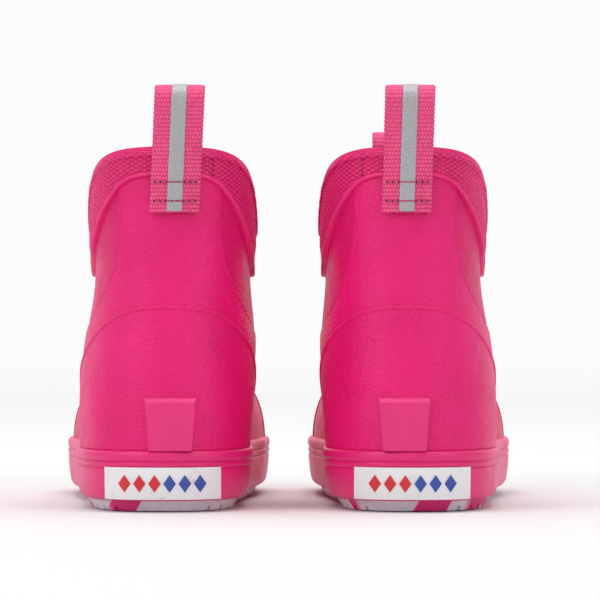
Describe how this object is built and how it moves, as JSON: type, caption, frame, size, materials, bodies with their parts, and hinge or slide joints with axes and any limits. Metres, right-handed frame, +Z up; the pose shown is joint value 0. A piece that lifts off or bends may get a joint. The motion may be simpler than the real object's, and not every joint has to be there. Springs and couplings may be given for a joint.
{
  "type": "ankle deck boots",
  "caption": "Pair of children's slip-on rubber ankle boots with wrapped soles, heel kick tabs, textured stretch side panels and webbing pull loops.",
  "frame": {"origin": "on the floor, midway between the boots and halfway along them", "axes": "+Z up, +Y towards the toes, +X towards the wearer's right"},
  "size_m": [0.1792, 0.223, 0.1578],
  "materials": {
    "upper": "matte, fine grain",
    "sidewall": "satin",
    "outsole": "matte, pale with pink patches",
    "midsole": "closed foam",
    "board": "pressed fibre",
    "footbed": "knit over foam",
    "lining": "jersey",
    "stiffener": "firm",
    "binding": "satin",
    "collar": "diamond texture",
    "kick_tab": "smooth satin",
    "label": "smooth satin",
    "mark_red": "satin",
    "mark_blue": "satin",
    "webbing": "ribbed weave",
    "tape": "reflective, satin",
    "thread": "twisted"
  },
  "bodies": {
    "left_boot": {"left_outsole": "outsole", "left_sidewall": "sidewall", "left_midsole": "midsole", "left_insole_board": "board", "left_upper": "upper", "left_lining": "lining", "left_heel_stiffener": "stiffener", "left_heel_counter": "upper", "left_back_panel": "upper", "left_toe_cap": "upper", "left_topline_rim": "binding", "left_heel_label": "label", "left_label_mark_red": "mark_red", "left_label_mark_blue": "mark_blue", "left_kick_tab": "kick_tab", "left_rear_loop_tails": "webbing", "left_front_loop_tails": "webbing", "left_tail_tapes": "tape", "left_loop_stitching": "thread", "left_collar_stitching": "thread", "left_collar_back": "collar", "left_collar_front": "collar", "left_gore_lateral": "collar", "left_gore_medial": "collar"},
    "left_rear_pull": {"left_rear_loop": "webbing", "left_rear_loop_tape": "tape"},
    "left_front_pull": {"left_front_loop": "webbing", "left_front_loop_tape": "tape"},
    "left_insole": {"left_footbed": "footbed"},
    "right_boot": {"right_outsole": "outsole", "right_sidewall": "sidewall", "right_midsole": "midsole", "right_insole_board": "board", "right_upper": "upper", "right_lining": "lining", "right_heel_stiffener": "stiffener", "right_heel_counter": "upper", "right_back_panel": "upper", "right_toe_cap": "upper", "right_topline_rim": "binding", "right_heel_label": "label", "right_label_mark_red": "mark_red", "right_label_mark_blue": "mark_blue", "right_kick_tab": "kick_tab", "right_rear_loop_tails": "webbing", "right_front_loop_tails": "webbing", "right_tail_tapes": "tape", "right_loop_stitching": "thread", "right_collar_stitching": "thread", "right_collar_back": "collar", "right_collar_front": "collar", "right_gore_lateral": "collar", "right_gore_medial": "collar"},
    "right_rear_pull": {"right_rear_loop": "webbing", "right_rear_loop_tape": "tape"},
    "right_front_pull": {"right_front_loop": "webbing", "right_front_loop_tape": "tape"},
    "right_insole": {"right_footbed": "footbed"}
  },
  "joints": [
    {"name": "boots_apart", "type": "slide", "parent": "left_boot", "child": "right_boot", "axis": [0, 0, 1], "range_m": [0, 0.2]},
    {"name": "left_rear_loop_flex", "type": "hinge", "parent": "left_boot", "child": "left_rear_pull", "pos_m": [-0.0408, -0.1029, 0.133], "axis": [1, 0, 0], "range_deg": [-35, 35], "stiffness_Nm_per_rad": 0.01},
    {"name": "left_front_loop_flex", "type": "hinge", "parent": "left_boot", "child": "left_front_pull", "pos_m": [-0.0435, -0.0177, 0.119], "axis": [1, 0, 0], "range_deg": [-35, 35], "stiffness_Nm_per_rad": 0.01},
    {"name": "left_footbed_lift", "type": "hinge", "parent": "left_boot", "child": "left_insole", "pos_m": [-0.0461, 0.103, 0.01055], "axis": [-1, 0, 0], "range_deg": [0, 4]},
    {"name": "right_rear_loop_flex", "type": "hinge", "parent": "right_boot", "child": "right_rear_pull", "pos_m": [0.0446, -0.1029, 0.133], "axis": [1, 0, 0], "range_deg": [-35, 35], "stiffness_Nm_per_rad": 0.01},
    {"name": "right_front_loop_flex", "type": "hinge", "parent": "right_boot", "child": "right_front_pull", "pos_m": [0.0421, -0.0177, 0.119], "axis": [1, 0, 0], "range_deg": [-35, 35], "stiffness_Nm_per_rad": 0.01},
    {"name": "right_footbed_lift", "type": "hinge", "parent": "right_boot", "child": "right_insole", "pos_m": [0.0461, 0.103, 0.01055], "axis": [-1, 0, 0], "range_deg": [0, 4]}
  ]
}
